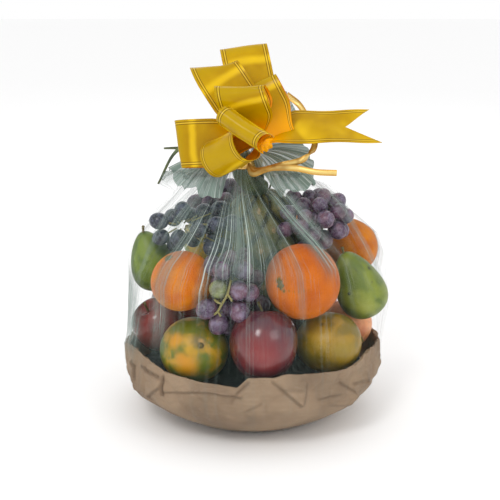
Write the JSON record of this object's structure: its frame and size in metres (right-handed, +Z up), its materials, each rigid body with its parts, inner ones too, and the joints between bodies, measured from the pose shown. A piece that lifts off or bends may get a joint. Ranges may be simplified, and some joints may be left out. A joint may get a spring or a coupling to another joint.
{
  "type": "fruit hamper",
  "caption": "Round paper-covered tray heaped with whole fruit under clear film that is gathered at the top, tied with gold ribbon and finished with a yellow pull bow.",
  "frame": {"origin": "the middle of the film's flat base, on the surface that the hamper stands on", "axes": "+Z up, -Y towards the front, which is the side that the bow faces, and +X to the right seen from the front"},
  "size_m": [0.2917, 0.2854, 0.4004],
  "materials": {
    "paper": "matt, creased",
    "tissue": "matt, crumpled",
    "pineapple_skin": "rough, with raised eyes",
    "crown_leaf": "satin",
    "mango_mottled_skin": "satin, mottled green and orange-yellow",
    "mango_olive_skin": "satin, freckled",
    "mango_red_skin": "satin",
    "apple_skin": "waxy gloss",
    "orange_peel": "dimpled, slightly glossy",
    "pear_skin": "satin, freckled",
    "grape_purple_skin": "satin with bloom",
    "grape_black_skin": "satin with bloom",
    "film": "clear film with bright pleats",
    "curl_ribbon": "metallic sheen",
    "bow_ribbon": "satin ribbon with dark lines along both edges"
  },
  "bodies": {
    "root": {"tray": "paper", "packing": "tissue", "pineapple": "pineapple_skin", "pineapple_crown": "crown_leaf", "mango_front_left": "mango_mottled_skin", "apple_front": "apple_skin", "mango_front_right": "mango_olive_skin", "mango_right": "mango_red_skin", "apple_back_right": "apple_skin", "mango_back": "mango_olive_skin", "apple_back_left": "apple_skin", "apple_left": "apple_skin", "orange_front_left": "orange_peel", "orange_front_right": "orange_peel", "pear_right": "pear_skin", "orange_back_right": "orange_peel", "orange_back": "orange_peel", "mango_back_high": "mango_mottled_skin", "pear_left": "pear_skin", "grapes_front": "grape_purple_skin", "grapes_left": "grape_black_skin", "grapes_right": "grape_purple_skin", "grapes_back": "grape_purple_skin", "film_wrap": "film", "gold_tie": "curl_ribbon", "bow": "bow_ribbon"}
  },
  "joints": []
}
